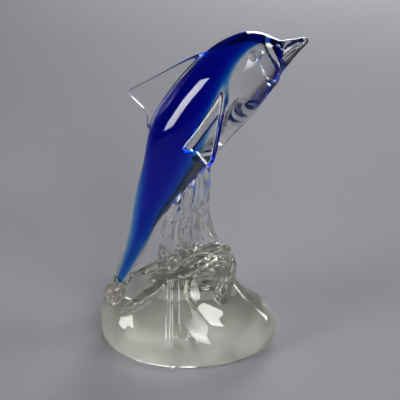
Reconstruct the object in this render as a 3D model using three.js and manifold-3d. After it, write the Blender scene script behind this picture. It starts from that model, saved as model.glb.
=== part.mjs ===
// Crystal glass figurine: a leaping dolphin of cased glass on a splash of clear glass.
//
// Millimetres, +Z up. The dolphin swims towards +X, its right side faces -Y, and the flat
// underside of the wave base lies on Z = 0. The group is shifted along x at the end, so that its
// origin is below the middle of the whole piece.
//
// Every applied bit of glass is a solid of its own. Where two bits are fused on the real piece
// they stop SEAM short of each other here, so that each stays a separate closed body.

import * as THREE from 'three';
import { mergeVertices } from 'three/addons/utils/BufferGeometryUtils.js';
import Module from 'manifold-3d';

const wasm = await Module();
wasm.setup();

// ---------------------------------------------------------------- driving dimensions

const SEAM = 0.3;             // gap left between two fused bits
const CASING = 2.2;           // least thickness of clear glass over the colour core
const EYE_RADIUS = 4.2;
const DORSAL_THICKNESS = 5.0;
const FLIPPER_THICKNESS = 6.0;
const FIN_BEVEL = 1.6;        // how far the rims of the fins are rounded

const OVERALL_MIDDLE = -1.75;  // middle of the base's left end and the tip of the beak, along x

const BODY_RINGS = 30;
const BODY_SIDES = 24;
const CORE_RINGS = 22;
const CORE_SIDES = 16;

// The body, from the tail in the base to the joint of the beak. Each station has its point on the
// back and its point on the belly, as [x, z], and its half width across the animal.
const BODY = [
  { back: [-75, 30], belly: [-63, 33], half: 5.5 },
  { back: [-70, 46], belly: [-56.5, 51], half: 6.5 },
  { back: [-62, 71], belly: [-47.5, 69], half: 7.5 },
  { back: [-54.5, 92], belly: [-40, 85], half: 9 },
  { back: [-51, 111], belly: [-31.5, 103], half: 11.5 },
  { back: [-47, 132], belly: [-19.5, 119], half: 14.5 },
  { back: [-42, 153], belly: [-8, 135.5], half: 17.5 },
  { back: [-37.5, 176], belly: [4.5, 150], half: 20 },
  { back: [-28.5, 196], belly: [17, 166], half: 22.5 },
  { back: [-15.5, 215], belly: [28.5, 180], half: 24 },
  { back: [0, 232.5], belly: [39, 192.5], half: 24.5 },
  { back: [15, 244], belly: [46.5, 203], half: 22.5 },
  { back: [32, 250.5], belly: [52, 210.5], half: 19 },
  { back: [46, 249], belly: [55.5, 215.5], half: 14 },
  { back: [55, 245], belly: [57, 220.5], half: 9 },
];

// The colour core inside the body: a share of the way along it, where it starts and ends between
// the back and the belly, and how wide it is, all as shares of the body there.
const CORE = [
  { at: 0.065, start: 0.38, reach: 0.56, width: 0.24 },
  { at: 0.115, start: 0.35, reach: 0.66, width: 0.42 },
  { at: 0.185, start: 0.34, reach: 0.70, width: 0.52 },
  { at: 0.27, start: 0.31, reach: 0.73, width: 0.60 },
  { at: 0.355, start: 0.25, reach: 0.76, width: 0.68 },
  { at: 0.455, start: 0.14, reach: 0.76, width: 0.76 },
  { at: 0.555, start: 0.09, reach: 0.68, width: 0.78 },
  { at: 0.655, start: 0.07, reach: 0.57, width: 0.74 },
  { at: 0.755, start: 0.06, reach: 0.43, width: 0.64 },
  { at: 0.855, start: 0.07, reach: 0.31, width: 0.48 },
  { at: 0.935, start: 0.12, reach: 0.32, width: 0.36 },
  { at: 1.0, start: 0.18, reach: 0.62, width: 0.46 },
];

// The beak carries on from the joint to its tip, in the same form as the body.
const BEAK = [
  { back: [55.4, 245], belly: [57.4, 220.5], half: 9 },
  { back: [60.5, 245.3], belly: [62, 227.5], half: 7.2 },
  { back: [66.5, 246], belly: [67.5, 235], half: 5 },
  { back: [72, 247], belly: [72.5, 240.5], half: 3 },
  { back: [74.8, 245.8], belly: [75, 243.5], half: 1.2 },
];

// The wave base as level rings: height, middle of the ring along x, half length, half depth.
const BASE = [
  { z: 0, x: -9.5, length: 65.5, depth: 46.5 },
  { z: 3, x: -9.5, length: 68, depth: 49 },
  { z: 10, x: -9.5, length: 69, depth: 50 },
  { z: 24, x: -12.5, length: 65.5, depth: 45 },
  { z: 37, x: -17, length: 56, depth: 36 },
  { z: 49, x: -16, length: 44, depth: 26.5 },
  { z: 58, x: -12, length: 34, depth: 21 },
  { z: 66, x: -8, length: 25, depth: 16.5 },
  { z: 73, x: -6, length: 18, depth: 13 },
  { z: 79, x: -6, length: 12, depth: 8 },
];
const BASE_SIDES = 40;

// The strands of the splash, from the base up to the belly: [x, y, z, radius].
const STRANDS = {
  splash_strand_left: [
    [-24, -5, 54, 8], [-26, -5, 76, 6.3], [-25, -5, 94, 4.8], [-21, -4, 111, 4.4], [-16, -3, 129, 4.4],
  ],
  splash_strand_middle: [
    [-8, -11, 56, 9], [-11, -10, 76, 6.8], [-12, -9, 96, 5.2], [-10, -7, 116, 4.6], [-8, -5, 144, 4.6],
  ],
  splash_strand_right: [
    [13, -3, 56, 9], [10, -3, 76, 7.2], [4, -2, 96, 5.4], [2, -1, 115, 4.4], [3, 0, 134, 4],
    [4, 0, 152, 3.6],
  ],
  splash_strand_back: [
    [-8, 11, 56, 9], [-6, 10, 76, 7.2], [-7, 9, 96, 5.6], [-4, 7, 118, 4.8], [-3, 5, 146, 4.6],
  ],
};
const STRAND_RINGS = 12;
const STRAND_SIDES = 12;

// The crest of the wave curls round the foot of the splash and hooks down on the right:
// [x, y, z, radius].
const CREST = [
  [-33, -12, 62, 3.5], [-21, -17, 69, 5.5], [-6, -19, 74, 7.5], [7, -16, 78, 8.5], [15, -8, 78, 8],
  [20, -6, 69, 7], [20, -13, 59, 6.5], [17, -21, 49, 4.5],
];
const CREST_RINGS = 18;

// Outline of the dorsal fin in the plane of symmetry, as [x, z].
const DORSAL = [
  [12, 232], [0, 235.5], [-30, 219.5], [-48, 209.5], [-51.5, 206], [-49.5, 202.5], [-43, 196],
  [-38.5, 188], [-37, 178], [-24, 176],
];

// Each flipper has the top and the low end of its root, in the body, and its tip. The left one
// sits lower on the belly.
const FLIPPERS = {
  flipper_left: { top: [29, 16, 209], low: [-8, 17, 157], tip: [14, 43, 164] },
  flipper_right: { top: [20, -18, 227], low: [-15, -18, 167], tip: [7, -43, 171] },
};

const EYE_AT = [37.5, 18, 240.5];            // on the left side of the head; mirrored for the right
const TAIL_SEAL = { at: [-66.5, -7, 43], size: [8, 8, 9] };

// ---------------------------------------------------------------- materials

const clearGlass = () => new THREE.MeshStandardMaterial({ color: 0xdde4e0, roughness: 0.04, metalness: 0 });
const baseGlass = () => new THREE.MeshStandardMaterial({ color: 0xd6dccf, roughness: 0.06, metalness: 0 });
const blueGlass = () => new THREE.MeshStandardMaterial({ color: 0x0a1f9c, roughness: 0.04, metalness: 0 });
const frostedGlass = () => new THREE.MeshStandardMaterial({ color: 0xd8cdcb, roughness: 0.4, metalness: 0 });

// ---------------------------------------------------------------- solids

// Merges a closed geometry's vertices, turns its faces outwards and makes it a solid.
function solid(geometry) {
  const bare = new THREE.BufferGeometry();
  bare.setAttribute('position', geometry.attributes.position);
  bare.setIndex(geometry.index);
  const merged = mergeVertices(bare, 1e-4);
  const points = merged.attributes.position.array;
  const faces = [];
  const index = merged.index.array;
  let volume = 0;
  for (let i = 0; i < index.length; i += 3) {
    const [a, b, c] = [index[i], index[i + 1], index[i + 2]];
    if (a === b || b === c || c === a) continue;
    faces.push(a, b, c);
    const p = new THREE.Vector3().fromArray(points, 3 * a);
    const q = new THREE.Vector3().fromArray(points, 3 * b);
    const r = new THREE.Vector3().fromArray(points, 3 * c);
    volume += p.dot(q.cross(r));
  }
  if (volume < 0) faces.reverse();
  return new wasm.Manifold(new wasm.Mesh({
    numProp: 3,
    vertProperties: new Float32Array(points),
    triVerts: new Uint32Array(faces),
  }));
}

function geometryOf(body) {
  const mesh = body.getMesh();
  const geometry = new THREE.BufferGeometry();
  geometry.setAttribute('position', new THREE.BufferAttribute(mesh.vertProperties, 3));
  geometry.setIndex(new THREE.BufferAttribute(mesh.triVerts, 1));
  geometry.computeVertexNormals();
  return geometry;
}

// A loft through rings. A ring has a centre and the two half axes of its ellipse. The blank is a
// turned drum of unit radius, one turn for each ring, which is then drawn out ring by ring.
function loft(rings, sides) {
  const profile = [new THREE.Vector2(0, 0)];
  rings.forEach((ring, i) => profile.push(new THREE.Vector2(1, i)));
  profile.push(new THREE.Vector2(0, rings.length - 1));
  const blank = new THREE.LatheGeometry(profile, sides);
  const place = blank.attributes.position;
  const point = new THREE.Vector3();
  for (let i = 0; i < place.count; i += 1) {
    const ring = rings[Math.round(place.getY(i))];
    point.copy(ring.centre);
    point.addScaledVector(ring.u, place.getX(i));
    point.addScaledVector(ring.v, place.getZ(i));
    place.setXYZ(i, point.x, point.y, point.z);
  }
  return solid(blank);
}

// ---------------------------------------------------------------- body, core and beak

// A ring across a body outline at a share of its length, grown outwards by `grow`.
function sectionOf(outline) {
  const curve = (pick) => new THREE.CatmullRomCurve3(outline.map(pick), false, 'catmullrom', 0.5);
  const back = curve((s) => new THREE.Vector3(s.back[0], 0, s.back[1]));
  const belly = curve((s) => new THREE.Vector3(s.belly[0], 0, s.belly[1]));
  const half = curve((s) => new THREE.Vector3(s.half, 0, 0));
  return (at, grow = 0) => {
    const top = back.getPoint(at);
    const low = belly.getPoint(at);
    const centre = top.clone().add(low).multiplyScalar(0.5);
    const u = top.clone().sub(low).multiplyScalar(0.5);
    u.setLength(u.length() + grow);
    return { centre, u, v: new THREE.Vector3(0, half.getPoint(at).x + grow, 0) };
  };
}

const bodyRing = sectionOf(BODY);
const beakRing = sectionOf(BEAK);

function bodyLoft(ringAt, count, grow) {
  const rings = [];
  for (let i = 0; i < count; i += 1) rings.push(ringAt(i / (count - 1), grow));
  return loft(rings, BODY_SIDES);
}

// The colour core, grown by `grow` for the hollow that holds it.
function coreLoft(grow) {
  const curve = (pick) => new THREE.CatmullRomCurve3(CORE.map(pick), false, 'catmullrom', 0.5);
  const along = curve((s) => new THREE.Vector3(s.at, s.start, s.reach));
  const width = curve((s) => new THREE.Vector3(s.width, 0, 0));
  const rings = [];
  for (let i = 0; i < CORE_RINGS; i += 1) {
    const at = i / (CORE_RINGS - 1);
    const share = along.getPoint(at);
    const ring = bodyRing(Math.min(share.x, 1));
    const depth = ring.u.length();
    const start = Math.max(share.y, CASING / (2 * depth));
    const centre = ring.centre.clone().addScaledVector(ring.u, 1 - start - share.z);
    const u = ring.u.clone().setLength((share.z - start) * depth + grow);
    rings.push({ centre, u, v: new THREE.Vector3(0, ring.v.y * width.getPoint(at).x + grow, 0) });
  }
  if (grow > 0) {
    // the hollow runs out through the joint of the beak
    const last = rings[rings.length - 1];
    const beyond = last.centre.clone().add(new THREE.Vector3(4, 0, 0));
    rings.push({ centre: beyond, u: last.u, v: last.v });
    const first = rings[0];
    const towards = first.centre.clone().sub(rings[1].centre).setLength(grow);
    rings.unshift({ centre: first.centre.clone().add(towards), u: first.u, v: first.v });
  }
  return loft(rings, CORE_SIDES);
}

const body = bodyLoft(bodyRing, BODY_RINGS, 0);
const bodyZone = bodyLoft(bodyRing, BODY_RINGS, SEAM);
const core = coreLoft(0);
const casing = body.subtract(coreLoft(SEAM));
const beak = bodyLoft(beakRing, 8, 0);

// ---------------------------------------------------------------- base, splash and crest

function baseLoft(grow) {
  const rings = BASE.map((s) => ({
    centre: new THREE.Vector3(s.x, 0, s.z + (s.z > 0 ? grow : 0)),
    u: new THREE.Vector3(s.length + grow, 0, 0),
    v: new THREE.Vector3(0, s.depth + grow, 0),
  }));
  return loft(rings, BASE_SIDES);
}

// A rounded strand through [x, y, z, radius] points, grown by `grow`.
function strand(points, grow, count = STRAND_RINGS) {
  const curve = new THREE.CatmullRomCurve3(points.map((p) => new THREE.Vector3(p[0], p[1], p[2])));
  const radius = new THREE.CatmullRomCurve3(points.map((p) => new THREE.Vector3(p[3], 0, 0)));
  const frames = curve.computeFrenetFrames(count, false);
  const rings = [];
  for (let i = 0; i <= count; i += 1) {
    const at = i / count;
    const size = radius.getPoint(curve.getUtoTmapping(at)).x + grow;
    rings.push({
      centre: curve.getPointAt(at),
      u: frames.normals[i].clone().multiplyScalar(size),
      v: frames.binormals[i].clone().multiplyScalar(size),
    });
  }
  return loft(rings, STRAND_SIDES);
}

const base = baseLoft(0).subtract(bodyZone);
const baseZone = baseLoft(SEAM);

const splash = {};
let taken = bodyZone.add(baseZone);
for (const [name, points] of Object.entries(STRANDS)) {
  splash[name] = strand(points, 0).subtract(taken);
  taken = taken.add(strand(points, SEAM));
}
const crest = strand(CREST, 0, CREST_RINGS).subtract(taken);

// The squashed end of the tail on the shoulder of the base.
const sealBall = new THREE.SphereGeometry(1, 16, 10).scale(...TAIL_SEAL.size).translate(...TAIL_SEAL.at);
const tailSeal = solid(sealBall).subtract(bodyZone).subtract(baseZone);

// ---------------------------------------------------------------- fins and eyes

// A blade cut to an outline of [a, b] points, with rounded rims, centred on its own plane.
function blade(outline, thickness) {
  const shape = new THREE.Shape(outline.map((p) => new THREE.Vector2(p[0], p[1])));
  const geometry = new THREE.ExtrudeGeometry(shape, {
    depth: thickness - 2 * FIN_BEVEL,
    bevelEnabled: true,
    bevelThickness: FIN_BEVEL,
    bevelSize: FIN_BEVEL,
    bevelOffset: -FIN_BEVEL,
    bevelSegments: 2,
    curveSegments: 8,
  });
  return geometry.translate(0, 0, FIN_BEVEL - thickness / 2);
}

const dorsal = solid(blade(DORSAL, DORSAL_THICKNESS).rotateX(Math.PI / 2)).subtract(bodyZone);

// The flipper's own plane holds its root and its tip: a runs down the root and b out to the tip.
function flipper(ends) {
  const top = new THREE.Vector3(...ends.top);
  const a = new THREE.Vector3(...ends.low).sub(top);
  const root = a.length();
  a.normalize();
  const out = new THREE.Vector3(...ends.tip).sub(top);
  const along = out.dot(a);
  const b = out.clone().addScaledVector(a, -along);
  const reach = b.length();
  b.normalize();
  const rim = new THREE.SplineCurve([
    new THREE.Vector2(-3, 0),
    new THREE.Vector2(along * 0.5, reach * 0.57),
    new THREE.Vector2(along * 0.9, reach * 0.95),
    new THREE.Vector2(along + 1, reach),
    new THREE.Vector2(along + 4, reach * 0.93),
    new THREE.Vector2(along + 4, reach * 0.65),
    new THREE.Vector2(along + 5, reach * 0.38),
    new THREE.Vector2(root - 4, reach * 0.16),
    new THREE.Vector2(root + 1, 0),
  ]);
  const outline = rim.getPoints(24).map((p) => [p.x, p.y]);
  outline.push([root - 4, -8], [4, -8]);
  const place = new THREE.Matrix4().makeBasis(a, b, a.clone().cross(b)).setPosition(top);
  return solid(blade(outline, FLIPPER_THICKNESS).applyMatrix4(place)).subtract(bodyZone);
}

function eye(side) {
  const ball = new THREE.SphereGeometry(EYE_RADIUS, 14, 10);
  ball.translate(EYE_AT[0], side * EYE_AT[1], EYE_AT[2]);
  return solid(ball).subtract(bodyZone);
}

// ---------------------------------------------------------------- assembly

const group = new THREE.Group();
group.position.x = -OVERALL_MIDDLE;

function piece(name, body, material) {
  const mesh = new THREE.Mesh(geometryOf(body), material);
  mesh.name = name;
  group.add(mesh);
}

piece('wave_base', base, baseGlass());
piece('wave_crest', crest, baseGlass());
for (const [name, body] of Object.entries(splash)) piece(name, body, clearGlass());
piece('body_casing', casing, clearGlass());
piece('colour_core', core, blueGlass());
piece('beak', beak, clearGlass());
piece('eye_left', eye(1), clearGlass());
piece('eye_right', eye(-1), clearGlass());
piece('dorsal_fin', dorsal, clearGlass());
for (const [name, ends] of Object.entries(FLIPPERS)) piece(name, flipper(ends), clearGlass());
piece('tail_seal', tailSeal, frostedGlass());

export default group;
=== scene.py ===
# Crystal glass figurine: a leaping dolphin of cased glass on a splash of clear glass.
#
# The clear glass is one smooth skin, because its pieces are fused while hot. The skin is found as
# the surface of a field, and each piece takes the part of it that is its own. Where two pieces
# are fused, both get a hidden joint face that light passes straight through.
#
# Shapes are worked out in millimetres, in the figurine's own drawing frame. When a mesh is made,
# they are shifted by DRAWING_X along x, into the frame, and turned into metres.

import math

import bmesh
import bpy
import numpy as np
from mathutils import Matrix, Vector


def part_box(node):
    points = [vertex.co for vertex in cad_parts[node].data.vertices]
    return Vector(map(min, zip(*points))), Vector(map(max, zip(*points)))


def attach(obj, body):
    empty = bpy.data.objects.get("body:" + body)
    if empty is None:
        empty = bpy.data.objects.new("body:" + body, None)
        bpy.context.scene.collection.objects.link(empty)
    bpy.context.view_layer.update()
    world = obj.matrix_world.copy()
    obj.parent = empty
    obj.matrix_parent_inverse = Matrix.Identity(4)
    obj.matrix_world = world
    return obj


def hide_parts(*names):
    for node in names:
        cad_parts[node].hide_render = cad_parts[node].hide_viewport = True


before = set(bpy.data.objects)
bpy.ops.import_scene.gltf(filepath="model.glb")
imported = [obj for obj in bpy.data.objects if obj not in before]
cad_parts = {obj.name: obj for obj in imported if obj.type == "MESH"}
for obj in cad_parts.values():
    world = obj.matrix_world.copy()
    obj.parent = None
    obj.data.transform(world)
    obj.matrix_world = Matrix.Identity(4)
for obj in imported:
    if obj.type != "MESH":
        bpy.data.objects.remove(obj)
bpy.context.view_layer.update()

# ------------------------------------------------------------------ driving dimensions

MM = 0.001
DRAWING_X = 1.75              # shift from the drawing frame to the frame, along x

CELL = 0.9   # edge of a cell of the skin
BLOCK = 4                     # cells along a block that is searched for the skin
SETTLE_ROUNDS = 3             # how often the vertices are evened out and drawn back onto the skin
SETTLE_SHARE = 0.6            # how much of the way to its neighbours' middle a vertex then moves
TINY = 1e-9
FAR = 1000.0
MARGIN = 7.0                  # how far round its box a piece's field is worked out
PROBE = 0.05                  # step for slopes of the field

CASING = 2.2                  # least thickness of clear glass over the colour core

# ------------------------------------------------------------------ curves


class Spline:
    """A natural cubic spline through the rows of `points`, which lie at 0, 1, 2 and so on."""

    def __init__(self, points):
        p = np.asarray(points, float)
        count = len(p)
        system = np.diag(np.full(count, 4.0))
        system += np.diag(np.ones(count - 1), 1) + np.diag(np.ones(count - 1), -1)
        system[0, 0] = system[-1, -1] = 2.0
        right = np.empty_like(p)
        right[1:-1] = 3 * (p[2:] - p[:-2])
        right[0] = 3 * (p[1] - p[0])
        right[-1] = 3 * (p[-1] - p[-2])
        self.points = p
        self.slopes = np.linalg.solve(system, right)
        self.end = count - 1

    def __call__(self, t):
        t = np.clip(t, 0, self.end)
        i = np.minimum(t.astype(int), self.end - 1)
        s = (t - i)[..., None]
        p0, p1 = self.points[i], self.points[i + 1]
        d0, d1 = self.slopes[i], self.slopes[i + 1]
        near = (2 * s**3 - 3 * s**2 + 1) * p0 + (s**3 - 2 * s**2 + s) * d0
        return near + (3 * s**2 - 2 * s**3) * p1 + (s**3 - s**2) * d1


def nearest_index(points, samples):
    """The index of the nearest of `samples` to each of `points`."""
    best = np.empty(len(points), int)
    for start in range(0, len(points), 20000):
        part = points[start:start + 20000]
        far = (samples**2).sum(1)[None] - 2 * part @ samples.T
        best[start:start + 20000] = far.argmin(1)
    return best


# ------------------------------------------------------------------ joining fields


def smooth_min(a, b, radius):
    """The lesser of two fields, with a fillet of about `radius` where they meet."""
    h = np.maximum(radius - np.abs(a - b), 0) / radius
    return np.minimum(a, b) - h * h * radius / 4


def smooth_max(a, b, radius):
    return -smooth_min(-a, -b, radius)


def corner(a, b, rounding):
    """Both of two slabs' insides, with a rounded edge where their faces meet."""
    qa, qb = a + rounding, b + rounding
    outside = np.hypot(np.maximum(qa, 0), np.maximum(qb, 0))
    return np.minimum(np.maximum(qa, qb), 0) + outside - rounding


def ellipse_field(a, b, half_a, half_b):
    """About the distance from an ellipse with its axes along a and b."""
    k0 = np.hypot(a / half_a, b / half_b)
    k1 = np.hypot(a / half_a**2, b / half_b**2)
    inner = -np.minimum(half_a, half_b)
    return np.where(k1 > TINY, k0 * (k0 - 1) / np.maximum(k1, TINY), inner)


# ------------------------------------------------------------------ the dolphin's body

# Each station has its point on the back and on the belly, as x and z, and its half width. The
# stations after the joint are the beak's.
STATIONS = [
    (-75, 30, -63, 33, 5.5),
    (-70, 46, -56.5, 51, 6.5),
    (-62, 71, -47.5, 69, 7.5),
    (-54.5, 92, -40, 85, 9),
    (-51, 111, -31.5, 103, 11.5),
    (-47, 132, -19.5, 119, 14.5),
    (-42, 153, -8, 135.5, 17.5),
    (-37.5, 176, 4.5, 150, 20),
    (-28.5, 196, 17, 166, 22.5),
    (-15.5, 215, 28.5, 180, 24),
    (0, 232.5, 39, 192.5, 24.5),
    (15, 244, 46.5, 203, 22.5),
    (32, 250.5, 52, 210.5, 19),
    (46, 249, 55.5, 215.5, 14),
    (55, 245, 57, 220.5, 9),
    (60.5, 245.3, 62, 227.5, 7.2),
    (66.5, 246, 67.5, 235, 5),
    (72, 247, 72.5, 240.5, 3),
    (74.8, 245.8, 75, 243.5, 1.2),
]
JOINT_STATION = 14            # the beak is joined to the body here
STATION_STEPS = 8             # samples between two stations, to find the nearest one
END_LENGTH = 10               # stands for the distance between two stations, at the ends
END_ROUNDING = 1.0
body_spline = Spline(STATIONS)


def body_section(t):
    """Centre, half axis towards the back and half width of the body at station t."""
    row = body_spline(t)
    back, belly, half = row[..., 0:2], row[..., 2:4], row[..., 4]
    return (back + belly) / 2, (back - belly) / 2, half


def body_station(points):
    """The station whose plane each point lies in."""
    flat = points[:, [0, 2]]
    samples = np.linspace(0, body_spline.end, body_spline.end * STATION_STEPS + 1)
    t = samples[nearest_index(flat, body_section(samples)[0])]

    def off_plane(at):
        centre, axis, _ = body_section(at)
        away = flat - centre
        return (away[:, 0] * axis[:, 1] - away[:, 1] * axis[:, 0]) / np.hypot(*axis.T)

    for _ in range(4):
        value = off_plane(t)
        slope = (off_plane(t + 0.01) - off_plane(t - 0.01)) / 0.02
        slope = np.where(np.abs(slope) < 1, np.copysign(1, slope), slope)
        t = np.clip(t - np.clip(value / slope, -0.5, 0.5), 0, body_spline.end)
    return t, off_plane(t)


# The line of the mouth, the fold of the chin and the line between the lips of the beak, cut into
# both sides of the head as (x, y, z, radius) points.
MOUTH = [
    (40.5, 18.8, 233.2, 0.7), (42.3, 18.8, 228.8, 0.9), (45.3, 17.2, 223, 1.1),
    (49.1, 14, 219.4, 1.2), (51.9, 12, 220.3, 1.1), (54, 10.4, 224, 0.7),
]
CHIN = [
    (41.5, 19, 231.5, 0.5), (44.3, 17.6, 222.9, 0.8), (47, 15.2, 216.7, 1.5), (48, 11.6, 211.8, 1.6),
    (47.1, 5.5, 205.6, 0.8),
]
LIPS = [(55, 7.4, 232.5, 0.8), (60, 6.6, 237, 0.9), (66, 4.9, 241, 0.8), (71.5, 3.2, 243.6, 0.5)]
HEAD_STATION = 10             # the creases lie after this station
CREASE_EDGE = 0.9             # rounding of a crease's edges


def crease_field(points):
    both = np.column_stack((points[:, 0], np.abs(points[:, 1]), points[:, 2]))
    return np.min([crease.field(both) for crease in creases], axis=0)


def body_field(points):
    t, off = body_station(points)
    centre, axis, half = body_section(t)
    depth = np.hypot(*axis.T)
    along = ((points[:, [0, 2]] - centre) * axis).sum(1) / depth
    side = ellipse_field(along, points[:, 1], depth, half)
    to_end = -np.minimum(t, body_spline.end - t) * END_LENGTH
    at_end = (t <= 0) | (t >= body_spline.end)
    field = corner(side, np.where(at_end, np.abs(off), to_end), END_ROUNDING)
    head = (t > HEAD_STATION) & (np.abs(field) < MARGIN)
    if head.any():
        field[head] = smooth_max(field[head], -crease_field(points[head]), CREASE_EDGE)
    return field, t


# ------------------------------------------------------------------ strands and crest

# Each strand is a row of (x, y, z, radius) points, from the base up.
STRANDS = {
    "splash_strand_left": [
        (-24, -5, 54, 8), (-26, -5, 76, 6.3), (-25, -5, 94, 4.8), (-21, -4, 111, 4.4),
        (-16, -3, 129, 4.4),
    ],
    "splash_strand_middle": [
        (-8, -11, 56, 9), (-11, -10, 76, 6.8), (-12, -9, 96, 5.2), (-10, -7, 116, 4.6),
        (-8, -5, 144, 4.6),
    ],
    "splash_strand_right": [
        (13, -3, 56, 9), (10, -3, 76, 7.2), (4, -2, 96, 5.4), (2, -1, 115, 4.4), (3, 0, 134, 4),
        (4, 0, 152, 3.6),
    ],
    "splash_strand_back": [
        (-8, 11, 56, 9), (-6, 10, 76, 7.2), (-7, 9, 96, 5.6), (-4, 7, 118, 4.8), (-3, 5, 146, 4.6),
    ],
}
FLUTE_TWIST = 0.8             # how far the ribs of a strand wind round it
STRAND_FLUTES = (4, 0.1)      # ribs round a strand, and their depth as a share of its radius
CREST_FLUTES = (3, 0.12)
CREST = [
    (-33, -12, 62, 3.5), (-21, -17, 69, 5.5), (-6, -19, 74, 7.5), (7, -16, 78, 8.5), (15, -8, 78, 8),
    (20, -6, 69, 7), (20, -13, 59, 6.5), (17, -21, 49, 4.5),
]
SWEEP_STEPS = 10


def row_frame(spline, t):
    """Two directions across a strand, at each t."""
    tangent = (spline(t + 0.01) - spline(t - 0.01))[:, :3]
    side = np.cross(tangent, (0.1, 1.0, 0.05))
    side /= np.maximum(np.linalg.norm(side, axis=1), TINY)[:, None]
    up = np.cross(side, tangent)
    return side, up / np.maximum(np.linalg.norm(up, axis=1), TINY)[:, None]


class Sweep:
    """A rounded strand through (x, y, z, radius) points."""

    def __init__(self, rows):
        self.spline = Spline(rows)
        self.samples = np.linspace(0, self.spline.end, self.spline.end * SWEEP_STEPS + 1)
        rows = self.spline(self.samples)
        self.centres = rows[:, :3]
        self.low = (self.centres - rows[:, 3:]).min(0) - MARGIN
        self.high = (self.centres + rows[:, 3:]).max(0) + MARGIN

    def place(self, points):
        """The station that each point is nearest to, and the spline's row there."""
        t = self.samples[nearest_index(points, self.centres)]
        for _ in range(3):
            row = self.spline(t)
            tangent = (self.spline(t + 0.01) - self.spline(t - 0.01))[:, :3] / 0.02
            step = ((points - row[:, :3]) * tangent).sum(1) / np.maximum((tangent**2).sum(1), 1)
            t = np.clip(t + np.clip(step, -0.5, 0.5), 0, self.spline.end)
        return t, self.spline(t)

    def field(self, points):
        near = np.all((points > self.low) & (points < self.high), axis=1)
        value = np.full(len(points), FAR)
        if near.any():
            _, row = self.place(points[near])
            value[near] = np.linalg.norm(points[near] - row[:, :3], axis=1) - row[:, 3]
        return value

    def fluted_field(self, points, flutes, depth):
        """The strand with ribs along it, `depth` times its radius deep."""
        t, row = self.place(points)
        away = points - row[:, :3]
        side, up = row_frame(self.spline, t)
        turn = np.arctan2((away * up).sum(1), (away * side).sum(1)) + FLUTE_TWIST * np.sin(2.1 * t)
        wave = np.cos(flutes * turn) + 0.4 * np.cos((2 * flutes + 1) * turn + t)
        return np.linalg.norm(away, axis=1) - row[:, 3] * (1 - depth * wave)


sweeps = {name: Sweep(rows) for name, rows in STRANDS.items()}
crest = Sweep(CREST)
creases = (Sweep(MOUTH), Sweep(CHIN), Sweep(LIPS))

# ------------------------------------------------------------------ the base

# Level rings: height, middle along x, half length, half depth.
BASE_RINGS = [
    (0, -9.5, 65.5, 46.5),
    (3, -9.5, 68, 49),
    (10, -9.5, 69, 50),
    (24, -12.5, 65.5, 45),
    (37, -17, 56, 36),
    (49, -16, 44, 26.5),
    (58, -12, 34, 21),
    (66, -8, 25, 16.5),
    (73, -6, 18, 13),
    (79, -6, 14, 10),
]
BASE_TOP = 79
BASE_TOP_ROUNDING = 6.0
BASE_EDGE = 0.8               # rounding of the edge of the underside
BASE_LUMPS = 0.45             # unevenness left by the hand that worked the base
RIB_FILLET = 4.0

# Ribs that run down the front of the base from the splash.
RIBS = [
    [
        (-21.5, -15, 74, 2.5), (-21.5, -25, 56, 2.6), (-21.5, -37, 38, 2.8), (-21.5, -46, 20, 2.8),
        (-21, -48.5, 5, 3),
    ],
    [(-8, -22, 66, 2.6), (-10.5, -28, 56, 2.4), (-7, -32, 49, 2), (-3, -34, 45, 1)],
    [(-18, -44, 26, 1), (-11, -44.5, 25, 2.2), (-6, -46.5, 17, 2)],
]
# Grooves pressed into the hot glass: the fold that runs from the left shoulder of the base along
# the crest and down its right end, the pocket below it, and the fold behind the left strand.
GROOVES = [
    [
        (-59, -25.5, 36.5, 2.4), (-52, -25, 42, 4.4), (-43, -24, 48.5, 5.4), (-33, -22, 56.5, 4.4),
        (-27, -22.5, 61.5, 3.2), (-20, -24.5, 67, 3.4), (-11, -25.5, 71.5, 3.6), (0, -23.5, 77.5, 3.4),
        (8, -19.5, 81, 3), (15, -15.5, 83, 2.8), (21.5, -11.5, 79.5, 2.8), (23, -13.5, 73, 2.8),
        (20, -14.5, 66, 3), (15, -17.5, 58.5, 2.8), (12, -20.5, 52, 1.8),
    ],
    [(-4, -25.5, 61, 2.2), (3, -23, 59, 4.8), (10, -20.5, 58.5, 3)],
    [(4, -24.5, 57, 4.4), (6, -27, 50.5, 2.4)],
    [(-43, -5, 60, 2.2), (-34, -9, 68, 3.4), (-29, -12, 77, 2.2)],
]
GROOVE_EDGE = 1.2             # rounding of a groove's edges
GROOVE_FOLD = 0.35            # depth of the small folds inside a groove
ribs = [Sweep(rows) for rows in RIBS]
grooves = [Sweep(rows) for rows in GROOVES]


def groove_field(points):
    x, y, z = points.T
    folds = np.sin(x / 1.9 + 1.5 * np.sin(z / 3.1)) * np.sin(z / 2.3 + y / 3)
    near = np.min([groove.field(points) for groove in grooves], axis=0)
    return near + GROOVE_FOLD * folds


base_spline = Spline(BASE_RINGS)
base_steps = np.linspace(0, base_spline.end, 400)
base_heights = base_spline(base_steps)[:, 0]


def base_section(points, rise=0.0):
    z = np.clip(points[:, 2] + rise, 0, BASE_TOP)
    row = base_spline(np.interp(z, base_heights, base_steps))
    return ellipse_field(points[:, 0] - row[:, 1], points[:, 1], row[:, 2], row[:, 3])


def base_field(points):
    side = base_section(points)
    slope = (base_section(points, 1.0) - base_section(points, -1.0)) / 2
    side = side / np.sqrt(1 + slope**2)
    hill = corner(side, points[:, 2] - BASE_TOP, BASE_TOP_ROUNDING)
    x, y, z = points.T
    lumps = np.sin(x / 6.5 + z / 9) * np.sin(y / 5.5 + 1) * np.sin(z / 6 + x / 14 + 2)
    hill = hill + BASE_LUMPS * lumps
    for rib in ribs:
        hill = smooth_min(hill, rib.field(points), RIB_FILLET)
    return corner(hill, -points[:, 2], BASE_EDGE)


# ------------------------------------------------------------------ blades


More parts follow.
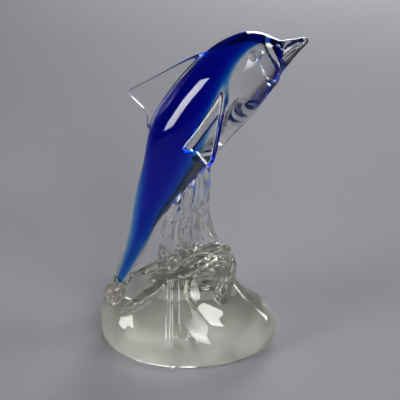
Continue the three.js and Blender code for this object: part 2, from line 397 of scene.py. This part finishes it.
class Blade:
    """A blade with a rounded rim: an outline in its own plane, of a thickness that tapers."""

    def __init__(self, outline, origin, a, b, thick_root, thick_tip, reach, bend=0.0):
        curve = Spline(outline)
        self.rim = curve(np.linspace(0, curve.end, curve.end * 8 + 1))
        self.origin = np.array(origin, float)
        self.a = np.array(a, float) / np.linalg.norm(a)
        b = np.array(b, float)
        b = b - self.a * (b @ self.a)
        self.b = b / np.linalg.norm(b)
        self.n = np.cross(self.a, self.b)
        self.thick = (thick_root / 2, thick_tip / 2, reach)
        self.bend = bend

    def field(self, points):
        away = points - self.origin
        a, b, n = away @ self.a, away @ self.b, away @ self.n
        root, tip, reach = self.thick
        share = np.clip(b / reach, 0, 1)
        half = root + (tip - root) * share
        n = n - self.bend * share**2
        flat = self.outline_field(a, b)
        return corner(flat, np.abs(n) - half, half * 0.98)

    def outline_field(self, a, b):
        start, end = self.rim, np.roll(self.rim, -1, axis=0)
        near = np.full(len(a), np.inf)
        inside = np.zeros(len(a), bool)
        for (ax, ay), (bx, by) in zip(start, end):
            dx, dy = bx - ax, by - ay
            share = np.clip(((a - ax) * dx + (b - ay) * dy) / max(dx * dx + dy * dy, TINY), 0, 1)
            near = np.minimum(near, (a - ax - share * dx)**2 + (b - ay - share * dy)**2)
            if ay != by:
                crosses = ((ay > b) != (by > b)) & (a < dx * (b - ay) / dy + ax)
                inside ^= crosses
        return np.where(inside, -1, 1) * np.sqrt(near)


# The dorsal fin lies in the plane of symmetry. Its outline runs from its front root over the tip.
DORSAL = [
    (10, 229), (0, 235.3), (-28, 220.7), (-47, 210.3), (-51.2, 206.5), (-49.3, 202.6), (-43, 196),
    (-38.8, 188), (-37.5, 178), (-22, 178),
]
dorsal = Blade(DORSAL, (0, 0, 0), (1, 0, 0), (0, 0, 1), 4.4, 4.4, 1)

# Each flipper: the top and the low end of its root, its tip, and how far the tip bends aside.
# The left one was set lower on the belly.
FLIPPERS = {
    "flipper_right": ((20, -18, 227), (-15, -18, 167), (7, -43, 171), -1.5),
    "flipper_left": ((29, 16, 209), (-8, 17, 157), (14, 43, 164), 1.5),
}


def flipper_blade(top, low, tip, bend):
    a = np.subtract(low, top)
    root = np.linalg.norm(a)
    a = a / root
    out = np.subtract(tip, top)
    along = out @ a
    reach = np.linalg.norm(out - a * along)
    outline = [
        (-3, -1), (along * 0.5, reach * 0.57), (along * 0.9, reach * 0.95), (along + 1, reach),
        (along + 4, reach * 0.93), (along + 4, reach * 0.65), (along + 5, reach * 0.38),
        (root - 4, reach * 0.16), (root + 1, -1), (root - 6, -7), (6, -7),
    ]
    return Blade(outline, top, a, out, 6, 3.6, reach, bend)


# ------------------------------------------------------------------ eyes and tail seal

EYE_AT = np.array((37.5, 18.0, 240.5))
EYE_RADIUS = 4.2
SEAL_AT = np.array((-66.5, -7, 43.0))
SEAL_SIZE = np.array((8, 8, 9.0))
SEAL_CREASE = 0.3             # depth of its crumpled marks


def eye_field(points, side):
    return np.linalg.norm(points - EYE_AT * (1, side, 1), axis=1) - EYE_RADIUS


def seal_field(points):
    away = points - SEAL_AT
    k0 = np.linalg.norm(away / SEAL_SIZE, axis=1)
    k1 = np.linalg.norm(away / SEAL_SIZE**2, axis=1)
    lump = k0 * (k0 - 1) / np.maximum(k1, TINY)
    x, y, z = away.T
    marks = np.sin(1.5 * x) * np.sin(1.7 * y + 1) * np.sin(1.3 * z + 2)
    return lump - SEAL_CREASE * marks


# ------------------------------------------------------------------ the whole field

def strand_field(name):
    return lambda points: sweeps[name].fluted_field(points, *STRAND_FLUTES)


# Each piece, its field, and the fillet where it joins what stands before it in this list.
PIECES = {
    "wave_base": (base_field, 1.0),
    "body_casing": (None, 4.0),   # its field comes from body_field, with the station
    "splash_strand_left": (strand_field("splash_strand_left"), 2.5),
    "splash_strand_middle": (strand_field("splash_strand_middle"), 2.5),
    "splash_strand_right": (strand_field("splash_strand_right"), 2.5),
    "splash_strand_back": (strand_field("splash_strand_back"), 2.5),
    "wave_crest": (lambda points: crest.fluted_field(points, *CREST_FLUTES), 4.0),
    "dorsal_fin": (dorsal.field, 2.0),
    "flipper_right": (flipper_blade(*FLIPPERS["flipper_right"]).field, 2.5),
    "flipper_left": (flipper_blade(*FLIPPERS["flipper_left"]).field, 2.5),
    "eye_right": (lambda points: eye_field(points, -1), 1.2),
    "eye_left": (lambda points: eye_field(points, 1), 1.2),
    "tail_seal": (seal_field, 4.0),
}
LABELS = list(PIECES) + ["beak"]


def drawing_box(node):
    low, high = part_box(node)
    shift = Vector((DRAWING_X, 0, 0))
    return np.array(low / MM - shift), np.array(high / MM - shift)


def skin_field(points):
    """The field of the whole skin at each point, and the piece that the point belongs to."""
    total = np.full(len(points), FAR)
    nearest = np.full(len(points), FAR)
    label = np.zeros(len(points), int)
    for number, (name, (field, fillet)) in enumerate(PIECES.items()):
        low, high = drawing_box(name)
        if name == "body_casing":
            high = np.maximum(high, drawing_box("beak")[1])
        near = np.all((points > low - MARGIN) & (points < high + MARGIN), axis=1)
        if not near.any():
            continue
        own = np.full(len(points), FAR)
        number_here = np.full(len(points), number)
        if name == "body_casing":
            own[near], t = body_field(points[near])
            number_here[near] = np.where(t > JOINT_STATION, len(PIECES), number)
        else:
            own[near] = field(points[near])
        closer = own < nearest
        label = np.where(closer, number_here, label)
        nearest = np.minimum(own, nearest)
        total = smooth_min(total, own, fillet)
    return smooth_max(total, -groove_field(points), GROOVE_EDGE), label


# ------------------------------------------------------------------ the skin's mesh


GRID_LOW = (-80.0, -51.5, -1.5)
GRID_HIGH = (79.0, 51.5, 253.0)


def sample_skin():
    """The field on a grid of cells, worked out only near the skin."""
    low, high = np.array(GRID_LOW), np.array(GRID_HIGH)
    blocks = np.ceil((high - low) / (CELL * BLOCK)).astype(int)
    step = CELL * BLOCK
    axes = [low[k] + (np.arange(blocks[k]) + 0.5) * step - CELL / 2 for k in range(3)]
    centres = np.stack(np.meshgrid(*axes, indexing="ij"), -1).reshape(-1, 3)
    coarse = skin_field(centres)[0].reshape(blocks)
    grid = np.repeat(np.repeat(np.repeat(coarse, BLOCK, 0), BLOCK, 1), BLOCK, 2)
    close = np.abs(coarse) < step * 1.5
    fine = np.repeat(np.repeat(np.repeat(close, BLOCK, 0), BLOCK, 1), BLOCK, 2)
    index = np.argwhere(fine)
    grid[fine] = skin_field(low + index * CELL)[0]
    return grid, low


def surface_net(grid, low):
    """Vertices and quads of the zero surface of a grid."""
    inside = grid < 0
    shape = np.array(grid.shape) - 1
    offsets = np.array([(i, j, k) for i in (0, 1) for j in (0, 1) for k in (0, 1)])
    count = np.zeros(shape, int)
    for i, j, k in offsets:
        count += inside[i:i + shape[0], j:j + shape[1], k:k + shape[2]]
    cells = np.argwhere((count > 0) & (count < 8))
    number = np.full(shape, -1)
    number[tuple(cells.T)] = np.arange(len(cells))
    total = np.zeros((len(cells), 3))
    hits = np.zeros(len(cells))
    for p, one in enumerate(offsets):
        for other in offsets[p + 1:]:
            if np.abs(one - other).sum() != 1:
                continue
            va = grid[tuple((cells + one).T)]
            vb = grid[tuple((cells + other).T)]
            cut = (va < 0) != (vb < 0)
            share = np.where(cut, va / np.where(cut, va - vb, 1), 0)
            total += cut[:, None] * (one + share[:, None] * (other - one))
            hits += cut
    vertices = low + (cells + total / hits[:, None]) * CELL
    quads = []
    for axis in range(3):
        u, v = (axis + 1) % 3, (axis + 2) % 3
        step = np.zeros(3, int)
        step[axis] = 1
        here = inside[tuple(slice(None, -1) if k == axis else slice(None) for k in range(3))]
        there = inside[tuple(slice(1, None) if k == axis else slice(None) for k in range(3))]
        edges = np.argwhere(here != there)
        eu, ev = edges[:, u], edges[:, v]
        edges = edges[(eu > 0) & (ev > 0) & (eu < shape[u]) & (ev < shape[v])]
        du, dv = np.zeros(3, int), np.zeros(3, int)
        du[u] = dv[v] = 1
        round_edge = ((1, 1), (0, 1), (0, 0), (1, 0))
        ring = np.stack([number[tuple((edges - a * du - b * dv).T)] for a, b in round_edge], 1)
        outwards = inside[tuple(edges.T)]
        quads.append(np.where(outwards[:, None], ring, ring[:, ::-1]))
    return vertices, np.concatenate(quads)


def slope_of(points):
    value, label = skin_field(points)
    slopes = []
    for k in range(3):
        step = np.zeros(3)
        step[k] = PROBE
        slopes.append((skin_field(points + step)[0] - skin_field(points - step)[0]) / (2 * PROBE))
    return value, np.stack(slopes, 1), label


def settle(vertices, quads):
    """Evens out the vertices along the skin and draws them onto it."""
    for turn in range(SETTLE_ROUNDS):
        value, slope, _ = slope_of(vertices)
        size = np.maximum((slope**2).sum(1), 0.05)
        pull = value / size
        vertices = vertices - np.clip(pull, -CELL, CELL)[:, None] * slope
        if turn == SETTLE_ROUNDS - 1:
            break
        total = np.zeros_like(vertices)
        hits = np.zeros(len(vertices))
        for k in range(4):
            one, other = quads[:, k], quads[:, (k + 1) % 4]
            for i, j in ((one, other), (other, one)):
                np.add.at(total, i, vertices[j])
                np.add.at(hits, i, 1)
        mean = total / np.maximum(hits, 1)[:, None]
        normal = slope / np.sqrt(size)[:, None]
        move = mean - vertices
        move -= (move * normal).sum(1)[:, None] * normal
        vertices = vertices + SETTLE_SHARE * move
    return vertices


def shared_edges():
    """Pairs of faces that share an edge."""
    one, other = quads, np.roll(quads, -1, axis=1)
    edge = (np.minimum(one, other) * len(vertices) + np.maximum(one, other)).ravel()
    face = np.repeat(np.arange(len(quads)), 4)
    order = edge.argsort(kind="stable")
    edge, face = edge[order], face[order]
    same = edge[1:] == edge[:-1]
    return np.column_stack((face[:-1][same], face[1:][same]))


def patches(pairs):
    """The first face of the patch that each face belongs to, where `pairs` of faces are joined."""
    patch = np.arange(len(quads))
    while True:
        one, other = patch[pairs[:, 0]], patch[pairs[:, 1]]
        if (one == other).all():
            return patch
        least = np.minimum(one, other)
        np.minimum.at(patch, one, least)
        np.minimum.at(patch, other, least)
        while (patch[patch] != patch).any():
            patch = patch[patch]


grid, corner_at = sample_skin()
vertices, quads = surface_net(grid, corner_at)
whole = patches(shared_edges())
quads = quads[whole == np.bincount(whole).argmax()]
vertices = settle(vertices, quads)
_, slopes, vertex_label = slope_of(vertices)
normals = slopes / np.maximum(np.linalg.norm(slopes, axis=1), TINY)[:, None]
print("skin:", len(vertices), "vertices,", len(quads), "faces")

# ------------------------------------------------------------------ materials

GLASS_IOR = 1.5


def new_material(name):
    material = bpy.data.materials.new(name)
    material.use_nodes = True
    tree = material.node_tree
    tree.nodes.clear()
    output = tree.nodes.new("ShaderNodeOutputMaterial")
    return material, tree, output


def node(tree, kind, **inputs):
    made = tree.nodes.new(kind)
    for key, value in inputs.items():
        made.inputs[key.replace("_", " ")].default_value = value
    return made


def noise(tree, scale, detail=3.0, roughness=0.5):
    place = tree.nodes.new("ShaderNodeTexCoord")
    made = node(tree, "ShaderNodeTexNoise", Scale=scale, Detail=detail, Roughness=roughness)
    tree.links.new(place.outputs["Object"], made.inputs["Vector"])
    return made


def bump(tree, height, strength, distance):
    made = node(tree, "ShaderNodeBump", Strength=strength, Distance=distance)
    tree.links.new(height, made.inputs["Height"])
    return made


def ramp(tree, factor, stops):
    made = tree.nodes.new("ShaderNodeValToRGB")
    elements = made.color_ramp.elements
    while len(elements) < len(stops):
        elements.new(0.5)
    for element, (place, colour) in zip(elements, stops):
        element.position = place
        element.color = (*colour, 1)
    tree.links.new(factor, made.inputs["Fac"])
    return made


def glass(
    name, tint, faint_tint, ripple, roughness=(0.0, 0.02), cloud_share=0.0, cloud_top=0.065,
):
    """Fire-polished glass: a faint tint that varies, the slow ripple of a hand-worked skin, and
    milky clouds below `cloud_top` that take up to `cloud_share` of the light."""
    material, tree, output = new_material(name)
    shader = node(tree, "ShaderNodeBsdfPrincipled", IOR=GLASS_IOR, Transmission_Weight=1.0)
    cloud = noise(tree, 14.0)
    colour = ramp(tree, cloud.outputs["Fac"], [(0.3, tint), (0.7, faint_tint)])
    tree.links.new(colour.outputs["Color"], shader.inputs["Base Color"])
    if cloud_share:
        milk = noise(tree, 32.0, detail=2.0, roughness=0.6)
        place = tree.nodes.new("ShaderNodeTexCoord")
        height = tree.nodes.new("ShaderNodeSeparateXYZ")
        tree.links.new(place.outputs["Object"], height.inputs["Vector"])
        low_down = node(
            tree, "ShaderNodeMapRange", From_Min=0.4 * cloud_top, From_Max=cloud_top, To_Min=1,
            To_Max=0,
        )
        tree.links.new(height.outputs["Z"], low_down.inputs["Value"])
        both = tree.nodes.new("ShaderNodeMath")
        both.operation = "MULTIPLY"
        tree.links.new(milk.outputs["Fac"], both.inputs[0])
        tree.links.new(low_down.outputs["Result"], both.inputs[1])
        milky = (1 - cloud_share,) * 3
        clear = ramp(tree, both.outputs["Value"], [(0.42, (1,) * 3), (0.68, milky)])
        tree.links.new(clear.outputs["Color"], shader.inputs["Transmission Weight"])
    low, high = roughness
    haze = noise(tree, 60.0)
    rough = ramp(tree, haze.outputs["Fac"], [(0.4, (low,) * 3), (0.75, (high,) * 3)])
    tree.links.new(rough.outputs["Color"], shader.inputs["Roughness"])
    waves = noise(tree, 90.0, detail=1.0)
    relief = bump(tree, waves.outputs["Fac"], 1.0, ripple)
    tree.links.new(relief.outputs["Normal"], shader.inputs["Normal"])
    tree.links.new(shader.outputs["BSDF"], output.inputs["Surface"])
    return material


def joint_material():
    """The hidden face between two fused pieces, which light passes straight through."""
    material, tree, output = new_material("fused_joint")
    shader = node(
        tree, "ShaderNodeBsdfPrincipled", Base_Color=(1, 1, 1, 1), Roughness=0.0, IOR=1.0,
        Transmission_Weight=1.0,
    )
    tree.links.new(shader.outputs["BSDF"], output.inputs["Surface"])
    return material


def core_material():
    """Cobalt glass cased in clear: its skin bends no light, and its colour is in its depth."""
    material, tree, output = new_material("cobalt_core")
    shader = node(
        tree, "ShaderNodeBsdfPrincipled", Base_Color=(1, 1, 1, 1), Roughness=0.0, IOR=1.0,
        Transmission_Weight=1.0,
    )
    depth = node(tree, "ShaderNodeVolumeAbsorption", Color=(0.03, 0.60, 0.95, 1), Density=540.0)
    tree.links.new(shader.outputs["BSDF"], output.inputs["Surface"])
    tree.links.new(depth.outputs["Volume"], output.inputs["Volume"])
    return material


def ground_material():
    """The ground flat underside of the base."""
    material, tree, output = new_material("ground_underside")
    shader = node(
        tree, "ShaderNodeBsdfPrincipled", Base_Color=(0.31, 0.33, 0.29, 1), IOR=GLASS_IOR,
        Transmission_Weight=0.53,
    )
    grain = noise(tree, 900.0, detail=4.0)
    rough = ramp(tree, grain.outputs["Fac"], [(0.3, (0.6,) * 3), (0.7, (0.85,) * 3)])
    tree.links.new(rough.outputs["Color"], shader.inputs["Roughness"])
    tree.links.new(shader.outputs["BSDF"], output.inputs["Surface"])
    return material


joint = joint_material()
ground = ground_material()
clear_glass = glass("clear_crystal", (0.96, 0.975, 0.975), (0.99, 0.99, 0.99), 0.00002)
base_glass = glass(
    "base_crystal", (0.96, 0.95, 0.87), (0.97, 0.97, 0.93), 0.00004, cloud_share=0.26
)
frosted_glass = glass(
    "frosted_crystal", (0.93, 0.84, 0.83), (0.97, 0.91, 0.90), 0.0001, (0.05, 0.4),
    cloud_share=0.2, cloud_top=0.2,
)

# ------------------------------------------------------------------ pieces of the skin

SLOTS = {
    "wave_base": ("base_glass", base_glass),
    "wave_crest": ("base_glass", base_glass),
    "tail_seal": ("frosted_glass", frosted_glass),
}
JOINT_INDEX = 1
GROUND_INDEX = 2
UNDERSIDE_DEPTH = 0.05        # faces that lie this low belong to the ground underside
TO_FRAME = np.array((DRAWING_X, 0, 0))


def mesh_object(name, points, faces, materials):
    mesh = bpy.data.meshes.new(name)
    mesh.from_pydata(((points + TO_FRAME) * MM).tolist(), [], faces)
    for material in materials:
        mesh.materials.append(material)
    mesh.shade_smooth()
    made = bpy.data.objects.new(name, mesh)
    bpy.context.collection.objects.link(made)
    return made


def set_shading(mesh, kinds, directions):
    """Shades the skin by the slope of its field, and each joint face flat."""
    hidden = np.array(kinds) == JOINT_INDEX
    mesh.polygons.foreach_set("material_index", kinds)
    mesh.polygons.foreach_set("use_smooth", ~hidden)
    corners = np.empty(len(mesh.loops), int)
    mesh.loops.foreach_get("vertex_index", corners)
    starts, totals = np.empty(len(kinds), int), np.empty(len(kinds), int)
    mesh.polygons.foreach_get("loop_start", starts)
    mesh.polygons.foreach_get("loop_total", totals)
    flat = np.empty(3 * len(kinds))
    mesh.polygons.foreach_get("normal", flat)
    flat = np.repeat(flat.reshape(-1, 3), totals, axis=0)
    shown = np.where(np.repeat(hidden, totals)[:, None], flat, directions[corners])
    mesh.normals_split_custom_set(shown.tolist())


def without_islands(label):
    """Gives each patch that is cut off from the rest of its piece to the piece around it."""
    pairs = shared_edges()
    patch = patches(pairs[label[pairs[:, 0]] == label[pairs[:, 1]]])
    size = np.bincount(patch, minlength=len(quads))
    loose = np.ones(len(quads), bool)
    for number in range(len(LABELS)):
        own = patch[label == number]
        loose[patch == own[size[own].argmax()]] = False
    while loose.any():
        for one, other in (pairs.T, pairs[:, ::-1].T):
            taken = loose[one] & ~loose[other]
            label[one[taken]] = label[other[taken]]
            loose[one[taken]] = False
    return label


def face_labels():
    """The piece that each face belongs to, with strays taken in by their neighbours."""
    label = skin_field(vertices[quads].mean(1))[1]
    votes = np.zeros((len(vertices), len(LABELS)))
    for _ in range(3):
        votes[:] = 0
        for k in range(4):
            np.add.at(votes, (quads[:, k], label), 1)
        label = votes[quads].sum(1).argmax(1)
    return without_islands(label)


def rim_loops(faces):
    """Closed loops of the open edges of some faces, none of which passes a vertex twice."""
    times = {}
    for face in faces:
        for one, other in zip(face, face[1:] + face[:1]):
            times[(one, other)] = times.get((one, other), 0) + 1
            times[(other, one)] = times.get((other, one), 0) - 1
    after = {}
    for (one, other), spare in times.items():
        if spare > 0:
            after.setdefault(one, []).extend([other] * spare)
    loops = []
    while after:
        path = [next(iter(after))]
        while path[-1] in after:
            follows = after[path[-1]]
            step = follows.pop()
            if not follows:
                del after[path[-1]]
            if step in path:
                loops.append(path[path.index(step):])
                path = path[:path.index(step) + 1]
            else:
                path.append(step)
    return loops


def skin_piece(name, labels):
    """One piece of the skin, closed by joint faces where it is fused to its neighbours."""
    own = quads[labels == LABELS.index(name)]
    used, renumbered = np.unique(own, return_inverse=True)
    faces = renumbered.reshape(own.shape).tolist()
    points, directions = vertices[used], normals[used]
    kinds = [0] * len(faces)
    if name == "wave_base":
        under = points[renumbered.reshape(own.shape)][..., 2].max(1) < UNDERSIDE_DEPTH
        kinds = np.where(under, GROUND_INDEX, 0).tolist()
    for loop in rim_loops(faces):
        middle = len(points)
        points = np.vstack((points, points[loop].mean(0)))
        directions = np.vstack((directions, (0, 0, 1)))
        for one, other in zip(loop, loop[1:] + loop[:1]):
            faces.append([other, one, middle])
            kinds.append(JOINT_INDEX)
    slot, material = SLOTS.get(name, ("clear_glass", clear_glass))
    made = mesh_object(name + "_skin", points, faces, (material, joint, ground))
    set_shading(made.data, kinds, directions)
    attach(made, "root")
    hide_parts(name)


labels = face_labels()
for name in LABELS:
    skin_piece(name, labels)

# ------------------------------------------------------------------ the colour core

# How far along the body, where it starts and ends between the back and the belly, how wide it
# is beside the body there, and how sharply its front edge thins out.
CORE = [
    (0.9, 0.38, 0.56, 0.30, 0.5),
    (1.6, 0.38, 0.68, 0.50, 0.4),
    (2.6, 0.37, 0.72, 0.62, 0.4),
    (3.8, 0.34, 0.74, 0.70, 0.4),
    (5.0, 0.27, 0.77, 0.72, 0.6),
    (6.4, 0.15, 0.79, 0.76, 0.8),
    (7.8, 0.08, 0.71, 0.86, 1.0),
    (9.2, 0.06, 0.59, 0.84, 1.2),
    (10.6, 0.06, 0.44, 0.78, 1.3),
    (12.0, 0.07, 0.30, 0.66, 1.2),
    (13.1, 0.12, 0.26, 0.50, 1.0),
    (13.9, 0.18, 0.62, 0.55, 0.7),
]
BLUNTNESS = 0.12              # share of its depth in which the core's back edge reaches its width
CORE_RINGS = 90
CORE_SIDES = 48


def core_piece():
    rows = Spline(CORE)(np.linspace(0, len(CORE) - 1, CORE_RINGS))
    angle = np.arange(CORE_SIDES) * 2 * math.pi / CORE_SIDES
    inward = (1 - np.cos(angle)) / 2
    rings = []
    for at, start, reach, width, thin in rows:
        centre, axis, half = (value[0] for value in body_section(np.array([at])))
        start = max(start, CASING / (2 * np.hypot(*axis)))
        share = start + (max(reach, start + 0.02) - start) * inward
        body_here = half * np.sqrt(np.maximum(1 - (2 * share - 1)**2, 0))
        rise = np.minimum(inward / BLUNTNESS, 1)
        shape = np.sqrt(rise * (2 - rise))
        wide = width * body_here * shape * (1 - inward**2)**thin
        flat = centre + axis * (1 - 2 * share)[:, None]
        rings.append(np.column_stack((flat[:, 0], wide * np.sign(np.sin(angle)), flat[:, 1])))
    points = np.vstack(rings + [rings[0].mean(0)[None], rings[-1].mean(0)[None]])
    faces = []
    for i in range(CORE_RINGS - 1):
        for j in range(CORE_SIDES):
            k = (j + 1) % CORE_SIDES
            one, other = i * CORE_SIDES, (i + 1) * CORE_SIDES
            faces.append([one + j, one + k, other + k, other + j])
    first, last = len(points) - 2, len(points) - 1
    end = (CORE_RINGS - 1) * CORE_SIDES
    for j in range(CORE_SIDES):
        k = (j + 1) % CORE_SIDES
        faces.append([first, k, j])
        faces.append([last, end + j, end + k])
    made = mesh_object("colour_core_glass", points, faces, (core_material(),))
    bm = bmesh.new()
    bm.from_mesh(made.data)
    bmesh.ops.recalc_face_normals(bm, faces=bm.faces)
    bm.to_mesh(made.data)
    bm.free()
    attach(made, "root")
    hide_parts("colour_core")


core_piece()

# ------------------------------------------------------------------ stage, lights, camera


def stage_material():
    material, tree, output = new_material("backdrop_paper")
    shader = node(tree, "ShaderNodeBsdfPrincipled", Roughness=0.9, Specular_IOR_Level=0.2)
    cloud = noise(tree, 3.0)
    shades = [(0.2, (0.315, 0.317, 0.345)), (0.8, (0.335, 0.337, 0.365))]
    colour = ramp(tree, cloud.outputs["Fac"], shades)
    tree.links.new(colour.outputs["Color"], shader.inputs["Base Color"])
    tree.links.new(shader.outputs["BSDF"], output.inputs["Surface"])
    return material


FLOOR_DROP = 0.0002           # keeps the floor's face off the underside's
FLOOR_RADIUS = 1.7
SWEEP_RADIUS = 0.8
SWEEP_STRIPS = 12
WALL_TOP = 1.0
STAGE_SIDES = 96


def round_stage():
    """A round floor whose rim sweeps up into a wall, so that it looks the same from all sides."""
    profile = [(0.001, 0.0), (0.3, 0.0), (0.8, 0.0), (FLOOR_RADIUS, 0.0)]
    for step in range(1, SWEEP_STRIPS + 1):
        turn = step / SWEEP_STRIPS * math.pi / 2
        rise = SWEEP_RADIUS * (1 - math.cos(turn))
        profile.append((FLOOR_RADIUS + SWEEP_RADIUS * math.sin(turn), rise))
    profile.append((FLOOR_RADIUS + SWEEP_RADIUS, WALL_TOP))
    sides = STAGE_SIDES
    points, faces = [], []
    for radius, z in profile:
        for j in range(sides):
            turn = 2 * math.pi * j / sides
            points.append((radius * math.cos(turn), radius * math.sin(turn), z - FLOOR_DROP))
    for i in range(len(profile) - 1):
        for j in range(sides):
            k = (j + 1) % sides
            inner, outer = i * sides, (i + 1) * sides
            faces.append([inner + j, inner + k, outer + k, outer + j])
    faces.append(list(range(sides))[::-1])
    mesh = bpy.data.meshes.new("round_stage")
    mesh.from_pydata(points, [], faces)
    mesh.materials.append(stage_material())
    mesh.shade_smooth()
    made = bpy.data.objects.new("round_stage", mesh)
    bpy.context.collection.objects.link(made)


round_stage()

AIM = Vector((0.00125, 0.0, 0.120))
CAMERA_ELEVATION = math.radians(27)
CAMERA_DISTANCE = 0.8
CAMERA_LENS = 96


def add_camera():
    data = bpy.data.cameras.new("camera")
    data.lens = CAMERA_LENS
    data.sensor_width = 36
    camera = bpy.data.objects.new("camera", data)
    back = Vector((0, -math.cos(CAMERA_ELEVATION), math.sin(CAMERA_ELEVATION)))
    camera.location = AIM + back * CAMERA_DISTANCE
    camera.rotation_mode = "QUATERNION"
    camera.rotation_quaternion = (-back).to_track_quat("-Z", "Y")
    bpy.context.collection.objects.link(camera)
    bpy.context.scene.camera = camera


add_camera()


def softbox(name, azimuth, elevation, distance, size, power, spread=180, colour=(1, 1, 1)):
    """A light that faces the figurine; its azimuth is 0 at -Y and 90 at +X."""
    data = bpy.data.lights.new(name, "AREA")
    data.shape = "RECTANGLE"
    data.size, data.size_y = size
    data.energy = power
    data.color = colour
    data.spread = math.radians(spread)
    made = bpy.data.objects.new(name, data)
    a, e = math.radians(azimuth), math.radians(elevation)
    back = Vector((math.sin(a) * math.cos(e), -math.cos(a) * math.cos(e), math.sin(e)))
    made.location = AIM + back * distance
    made.rotation_mode = "QUATERNION"
    made.rotation_quaternion = (-back).to_track_quat("-Z", "Y")
    bpy.context.collection.objects.link(made)


WARM = (1.0, 0.98, 0.95)
softbox("tall_window", -63, 14, 1.4, (0.45, 0.72), 2.6, 90, WARM)
softbox("front_window", 15, 29, 1.3, (0.34, 0.8), 0.45, 40, WARM)
softbox("right_window", 43, 42, 1.5, (0.5, 0.24), 1.0, 90, WARM)
softbox("side_window", 90, 47, 1.4, (0.35, 0.35), 0.8, 90)
softbox("edge_light", 118, 2, 1.5, (0.22, 0.9), 0.75, 60)
softbox("back_light", 165, 21, 1.8, (1.0, 1.0), 20, 180)


def set_world():
    world = bpy.data.worlds.new("room")
    world.use_nodes = True
    background = world.node_tree.nodes["Background"]
    background.inputs["Color"].default_value = (0.80, 0.81, 0.86, 1)
    background.inputs["Strength"].default_value = 0.05
    bpy.context.scene.world = world


set_world()

scene = bpy.context.scene
scene.view_settings.view_transform = "Standard"
scene.view_settings.look = "Medium High Contrast"
scene.cycles.max_bounces = 40
scene.cycles.transmission_bounces = 40
scene.cycles.transparent_max_bounces = 40
scene.cycles.glossy_bounces = 12
scene.cycles.sample_clamp_indirect = 6.0
